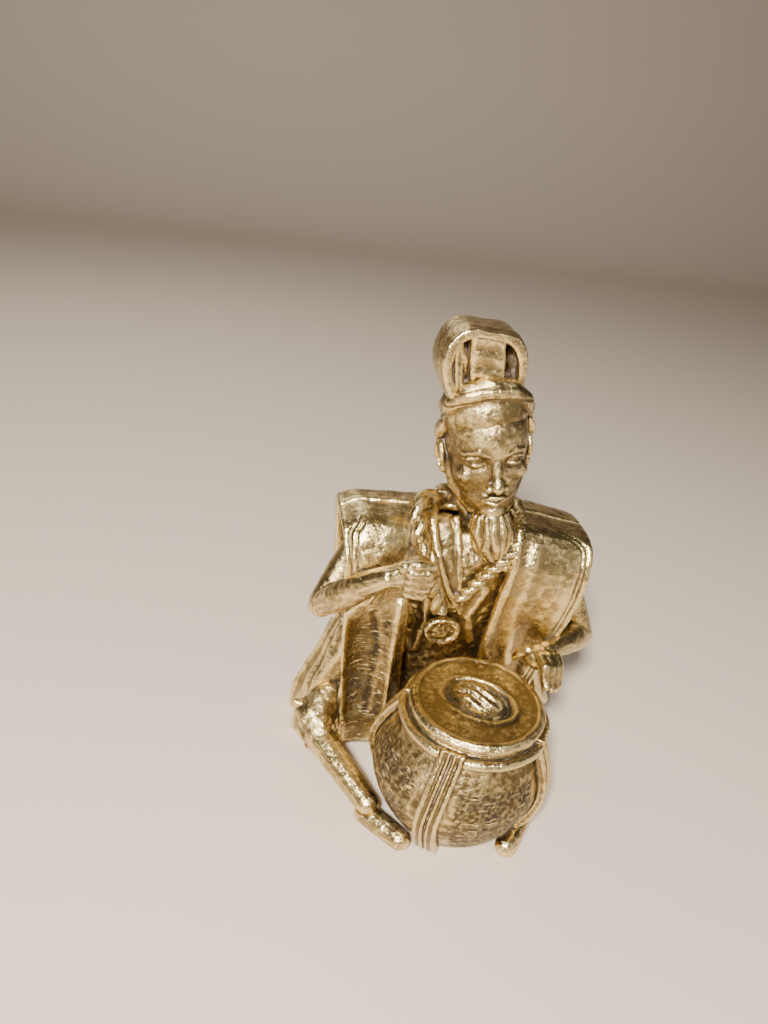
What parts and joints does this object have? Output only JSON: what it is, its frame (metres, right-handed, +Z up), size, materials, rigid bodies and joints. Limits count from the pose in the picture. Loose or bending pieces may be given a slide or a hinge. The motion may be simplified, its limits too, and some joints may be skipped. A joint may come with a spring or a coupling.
{
  "type": "souvenir figurine",
  "caption": "Small cast brass figure of a seated robed man with a tall folded headwrap, one hand at the rim of a round lidded pot held between his legs.",
  "frame": {"origin": "middle of the footprint, on the surface the figure sits on", "axes": "+Z up, the figure faces -Y, its right side is at -X"},
  "size_m": [0.0694, 0.0568, 0.0998],
  "materials": {
    "brass_bright": "worn bright, rubbed highlights",
    "brass_worn": "satin with thin brown patina",
    "brass_dark": "dark brown patina, rough as cast"
  },
  "bodies": {
    "figure": {"torso": "brass_dark", "pot_body": "brass_dark", "robe_back": "brass_bright", "robe_front_right": "brass_bright", "robe_front_left": "brass_bright", "beard": "brass_bright", "headwrap_loop": "brass_bright", "headwrap_pleat_centre": "brass_bright", "headwrap_pleat_side": "brass_bright", "right_fist": "brass_bright", "left_hand": "brass_bright", "right_shin": "brass_bright", "right_foot": "brass_bright", "left_shin": "brass_bright", "left_foot": "brass_bright", "necklace_cord": "brass_bright", "necklace_braid": "brass_bright", "head": "brass_worn", "headwrap_band": "brass_worn", "skirt_right": "brass_worn", "skirt_left": "brass_worn", "right_upper_arm": "brass_worn", "right_forearm": "brass_worn", "left_upper_arm": "brass_worn", "left_forearm": "brass_worn", "right_knee_cuff": "brass_worn", "left_knee_cuff": "brass_worn", "pendant": "brass_worn", "pot_strap_1": "brass_worn", "pot_strap_2": "brass_worn", "pot_strap_3": "brass_worn", "pot_strap_4": "brass_worn", "pot_ring_wire_1": "brass_worn", "pot_ring_wire_2": "brass_worn", "pot_ring_wire_3": "brass_worn", "pot_ring_wire_4": "brass_worn"},
    "lid": {"pot_lid": "brass_worn", "lid_handle": "brass_bright"}
  },
  "joints": [
    {"name": "lid_lift", "type": "slide", "parent": "figure", "child": "lid", "axis": [0, -0.342, 0.9397], "range_m": [0, 0.06]}
  ]
}
